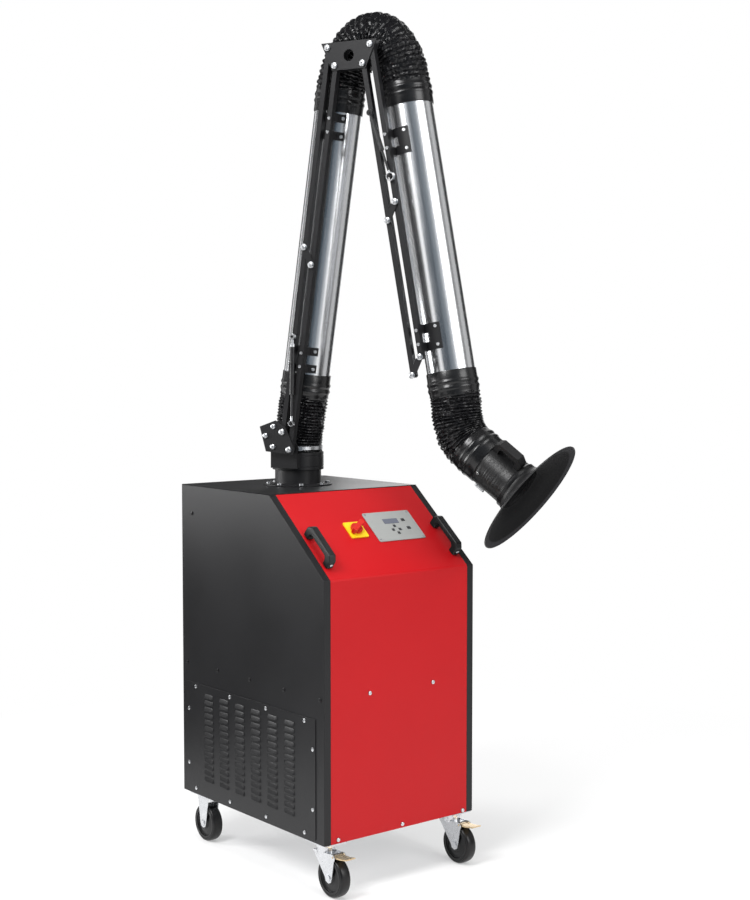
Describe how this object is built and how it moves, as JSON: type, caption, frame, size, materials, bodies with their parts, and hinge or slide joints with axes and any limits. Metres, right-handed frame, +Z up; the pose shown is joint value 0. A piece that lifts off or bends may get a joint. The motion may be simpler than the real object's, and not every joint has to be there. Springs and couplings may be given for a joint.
{
  "type": "mobile fume extractor with a balanced extraction arm",
  "caption": "Wheeled filter cabinet with a louvred side, sloped control fascia and a balanced two-part duct arm that carries a flared, damped hood.",
  "frame": {"origin": "on the floor, under the middle of the whole object's box", "axes": "+Z up, -Y out of the cabinet's front, +X to the right seen from behind the arm"},
  "size_m": [0.8478, 1.1602, 2.752],
  "materials": {
    "black_paint": "black satin powder coat",
    "red_paint": "red powder coat",
    "zinc": "bright zinc plate",
    "polished": "polished",
    "wheel_rubber": "grey-black moulded rubber",
    "hose": "glossy black coated fabric",
    "moulded": "matt black moulding",
    "keypad": "silver grey film",
    "yellow": "yellow moulding",
    "knob_red": "red moulding",
    "cast": "cast, bare",
    "paper": "pleated filter paper"
  },
  "bodies": {
    "cabinet": {"left_side_panel": "black_paint", "right_side_panel": "black_paint", "front_panel": "red_paint", "top_plate": "black_paint", "back_panel": "black_paint", "base_pan": "zinc", "louvre_panel": "black_paint", "control_panel": "keypad", "switch_plate": "yellow", "grab_handle_left": "moulded", "grab_handle_right": "moulded", "filter_shelf": "zinc", "filter_cartridge": "paper", "fan_housing": "zinc", "fan_motor": "cast", "castor_plate_fl": "zinc", "castor_plate_fr": "zinc", "castor_fork_rl": "zinc", "castor_fork_rr": "zinc", "arm_flange": "black_paint"},
    "main_switch": {"switch_knob": "knob_red"},
    "fan_rotor": {"fan_impeller": "cast"},
    "castor_fl": {"castor_fork_fl": "zinc"},
    "castor_fr": {"castor_fork_fr": "zinc"},
    "brake_fl": {"brake_pedal_fl": "zinc"},
    "brake_fr": {"brake_pedal_fr": "zinc"},
    "roller_fl": {"wheel_fl": "wheel_rubber"},
    "roller_fr": {"wheel_fr": "wheel_rubber"},
    "roller_rl": {"wheel_rl": "wheel_rubber"},
    "roller_rr": {"wheel_rr": "wheel_rubber"},
    "arm_base": {"base_collar": "black_paint", "base_plate_front": "black_paint", "base_plate_rear": "black_paint", "base_hose": "hose"},
    "lower_arm": {"lower_main_bar": "black_paint", "lower_tube": "polished", "lower_bracket_low": "black_paint", "lower_bracket_top": "black_paint"},
    "lower_rail": {"lower_parallel_bar": "black_paint"},
    "lower_strut": {"lower_link": "black_paint"},
    "lower_spring": {"lower_gas_cylinder": "moulded"},
    "lower_spring_rod": {"lower_gas_rod": "polished"},
    "elbow": {"elbow_plate_front": "black_paint", "elbow_plate_rear": "black_paint", "elbow_hose": "hose"},
    "outer_arm": {"outer_main_bar": "black_paint", "outer_tube": "polished", "outer_bracket_top": "black_paint", "outer_bracket_low": "black_paint"},
    "outer_rail": {"outer_parallel_bar": "black_paint"},
    "outer_strut_mid": {"outer_link_mid": "black_paint"},
    "outer_strut_end": {"outer_link_end": "black_paint"},
    "outer_spring": {"outer_gas_cylinder": "moulded"},
    "outer_spring_rod": {"outer_gas_rod": "polished"},
    "hood_link": {"hood_joint": "zinc", "hood_hose": "hose"},
    "hood": {"hood_neck": "moulded", "hood_bell": "moulded", "hood_handle": "moulded"},
    "damper": {"damper": "zinc"}
  },
  "joints": [
    {"name": "castor_swivel_fl", "type": "hinge", "parent": "cabinet", "child": "castor_fl", "pos_m": [-0.37061, -0.1689, 0], "axis": [0, 0, 1], "continuous": true},
    {"name": "brake_fl", "type": "hinge", "parent": "castor_fl", "child": "brake_fl", "pos_m": [-0.37061, -0.2309, 0.131], "axis": [1, 0, 0], "range_deg": [0, 12]},
    {"name": "wheel_roll_fl", "type": "hinge", "parent": "castor_fl", "child": "roller_fl", "pos_m": [-0.37061, -0.2089, 0.0625], "axis": [1, 0, 0], "continuous": true},
    {"name": "castor_swivel_fr", "type": "hinge", "parent": "cabinet", "child": "castor_fr", "pos_m": [0.13939, -0.1689, 0], "axis": [0, 0, 1], "continuous": true},
    {"name": "brake_fr", "type": "hinge", "parent": "castor_fr", "child": "brake_fr", "pos_m": [0.13939, -0.2309, 0.131], "axis": [1, 0, 0], "range_deg": [0, 12]},
    {"name": "wheel_roll_fr", "type": "hinge", "parent": "castor_fr", "child": "roller_fr", "pos_m": [0.13939, -0.2089, 0.0625], "axis": [1, 0, 0], "continuous": true},
    {"name": "wheel_roll_rl", "type": "hinge", "parent": "cabinet", "child": "roller_rl", "pos_m": [-0.37061, 0.4961, 0.0625], "axis": [1, 0, 0], "continuous": true},
    {"name": "wheel_roll_rr", "type": "hinge", "parent": "cabinet", "child": "roller_rr", "pos_m": [0.13939, 0.4961, 0.0625], "axis": [1, 0, 0], "continuous": true},
    {"name": "switch_turn", "type": "hinge", "parent": "cabinet", "child": "main_switch", "pos_m": [-0.18161, -0.07626, 1.09753], "axis": [0, -0.6418, 0.7668], "range_deg": [0, 90]},
    {"name": "fan_spin", "type": "hinge", "parent": "cabinet", "child": "fan_rotor", "pos_m": [-0.11561, 0.1801, 0], "axis": [0, 0, 1], "continuous": true},
    {"name": "arm_swivel", "type": "hinge", "parent": "cabinet", "child": "arm_base", "pos_m": [-0.11561, 0.3251, 0], "axis": [0, 0, 1], "continuous": true},
    {"name": "lower_arm_tilt", "type": "hinge", "parent": "arm_base", "child": "lower_arm", "pos_m": [-0.1008, 0.29229, 1.333], "axis": [0.9114, 0.4115, 0], "range_deg": [-4, 36], "deforming": ["base_hose"]},
    {"name": "lower_rail_tilt", "type": "hinge", "parent": "arm_base", "child": "lower_rail", "pos_m": [-0.1115, 0.31598, 1.391], "axis": [0.9114, 0.4115, 0], "range_deg": [-4.5, 36.5]},
    {"name": "lower_strut_turn", "type": "hinge", "parent": "lower_arm", "child": "lower_strut", "pos_m": [-0.06598, 0.21516, 1.93508], "axis": [0.9114, 0.4115, 0], "range_deg": [-36.5, 4.5]},
    {"name": "elbow_level", "type": "hinge", "parent": "lower_arm", "child": "elbow", "pos_m": [-0.02967, 0.13475, 2.56291], "axis": [0.9114, 0.4115, 0], "range_deg": [-36.5, 4.5], "deforming": ["elbow_hose"]},
    {"name": "lower_spring_swing", "type": "hinge", "parent": "lower_rail", "child": "lower_spring", "pos_m": [-0.20887, 0.22376, 1.70392], "axis": [0.9114, 0.4115, 0], "range_deg": [-7.04, 1.23]},
    {"name": "lower_spring_slide", "type": "slide", "parent": "lower_spring", "child": "lower_spring_rod", "axis": [-0.0083, 0.0184, -0.9998], "range_m": [-0.02501, 0.00367]},
    {"name": "outer_arm_tilt", "type": "hinge", "parent": "elbow", "child": "outer_arm", "pos_m": [0.02218, 0.01991, 2.62091], "axis": [0.9114, 0.4115, 0], "range_deg": [-55, 2]},
    {"name": "outer_rail_tilt", "type": "hinge", "parent": "elbow", "child": "outer_rail", "pos_m": [0.01149, 0.04361, 2.56291], "axis": [0.9114, 0.4115, 0], "range_deg": [-55.5, 2.5]},
    {"name": "outer_strut_mid_turn", "type": "hinge", "parent": "outer_arm", "child": "outer_strut_mid", "pos_m": [0.05856, -0.06064, 2.12472], "axis": [0.9114, 0.4115, 0], "range_deg": [-2.5, 55.5]},
    {"name": "outer_strut_end_turn", "type": "hinge", "parent": "outer_arm", "child": "outer_strut_end", "pos_m": [0.09421, -0.1396, 1.63838], "axis": [0.9114, 0.4115, 0], "range_deg": [-2.5, 55.5]},
    {"name": "outer_spring_swing", "type": "hinge", "parent": "outer_rail", "child": "outer_spring", "pos_m": [-0.09244, -0.03411, 2.40539], "axis": [0.9114, 0.4115, 0], "range_deg": [-5.63, 0.69]},
    {"name": "outer_spring_slide", "type": "slide", "parent": "outer_spring", "child": "outer_spring_rod", "axis": [0.1384, -0.3066, -0.9417], "range_m": [-0.00298, 0.05543]},
    {"name": "hood_tilt", "type": "hinge", "parent": "outer_arm", "child": "hood_link", "pos_m": [0.11867, -0.19379, 1.55552], "axis": [0.9114, 0.4115, 0], "range_deg": [-45, 10], "deforming": ["hood_hose"]},
    {"name": "hood_swing", "type": "hinge", "parent": "hood_link", "child": "hood", "pos_m": [0.14592, -0.25412, 1.35239], "axis": [0.2517, -0.5573, 0.7912], "range_deg": [-45, 45]},
    {"name": "damper_turn", "type": "hinge", "parent": "hood", "child": "damper", "pos_m": [0.17424, -0.31686, 1.29918], "axis": [0.2517, -0.5573, 0.7912], "range_deg": [0, 90]}
  ],
  "couplings": [
    {"joint": "lower_rail_tilt", "follows": "lower_arm_tilt", "ratio": 1},
    {"joint": "lower_strut_turn", "follows": "lower_arm_tilt", "ratio": -1},
    {"joint": "elbow_level", "follows": "lower_arm_tilt", "ratio": -1},
    {"joint": "lower_spring_swing", "follows": "lower_arm_tilt", "ratio": -0.18182},
    {"joint": "lower_spring_slide", "follows": "lower_arm_tilt", "m_per_rad": -0.038213},
    {"joint": "outer_rail_tilt", "follows": "outer_arm_tilt", "ratio": 1},
    {"joint": "outer_strut_mid_turn", "follows": "outer_arm_tilt", "ratio": -1},
    {"joint": "outer_strut_end_turn", "follows": "outer_arm_tilt", "ratio": -1},
    {"joint": "outer_spring_swing", "follows": "outer_arm_tilt", "ratio": 0.093316},
    {"joint": "outer_spring_slide", "follows": "outer_arm_tilt", "m_per_rad": -0.056707}
  ]
}
